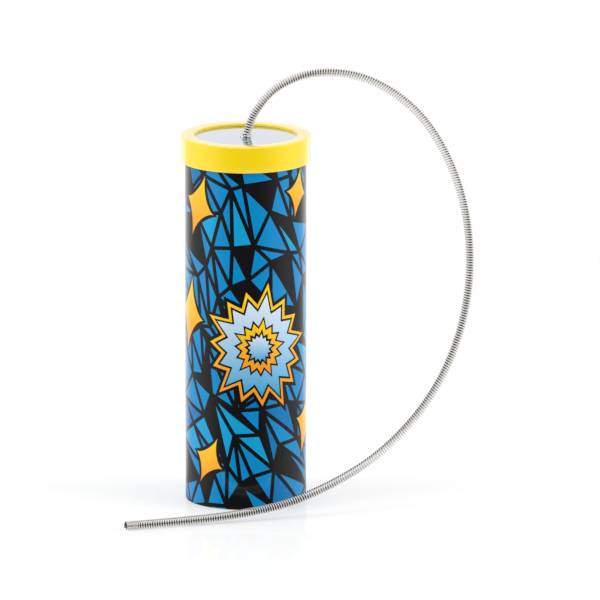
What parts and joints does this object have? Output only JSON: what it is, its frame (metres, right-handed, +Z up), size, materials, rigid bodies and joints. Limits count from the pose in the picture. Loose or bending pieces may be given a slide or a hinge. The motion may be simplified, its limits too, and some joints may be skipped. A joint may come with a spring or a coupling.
{
  "type": "thunder tube",
  "caption": "Shaken instrument: an open board tube with a drum film under a moulded collar, and a long coiled steel spring fixed to the film that arches over to the floor.",
  "frame": {"origin": "middle of the tube's open lower end, on the surface that it stands on", "axes": "+Z up the tube to the drum face, -Y to the front where the spring's tail lies, +X to the side that the spring arches over"},
  "size_m": [0.1733, 0.1066, 0.2167],
  "materials": {
    "board": "raw grey-brown wound board",
    "printed_paper": "printed and gloss varnished",
    "yellow_plastic": "glossy moulded",
    "drum_film": "glossy taut film",
    "washer_plastic": "plain moulded",
    "hot_glue": "set glue, waxy",
    "clear_glue": "clear set glue",
    "spring_steel": "bright drawn wire"
  },
  "bodies": {
    "tube": {"tube_shell": "board", "printed_wrap": "printed_paper", "head_ring": "yellow_plastic", "drum_head": "drum_film"},
    "anchor": {"backing_washer": "washer_plastic", "anchor_plug": "hot_glue"},
    "foot": {"foot_bead": "clear_glue"},
    "spring": {"spring": "spring_steel"}
  },
  "joints": [
    {"name": "head_flex", "type": "slide", "parent": "tube", "child": "anchor", "axis": [0, 0, 1], "range_m": [-0.0012, 0.0012], "stiffness_N_per_m": 700, "deforming": ["drum_head"]},
    {"name": "spring_sweep", "type": "hinge", "parent": "anchor", "child": "foot", "pos_m": [0, 0, 0.1843], "axis": [0, 0, 1], "range_deg": [-60, 60], "stiffness_Nm_per_rad": 0.004},
    {"name": "spring_sway", "type": "hinge", "parent": "foot", "child": "spring", "pos_m": [0, 0, 0.1843], "axis": [0, -1, 0], "range_deg": [0, 45], "stiffness_Nm_per_rad": 0.004}
  ]
}
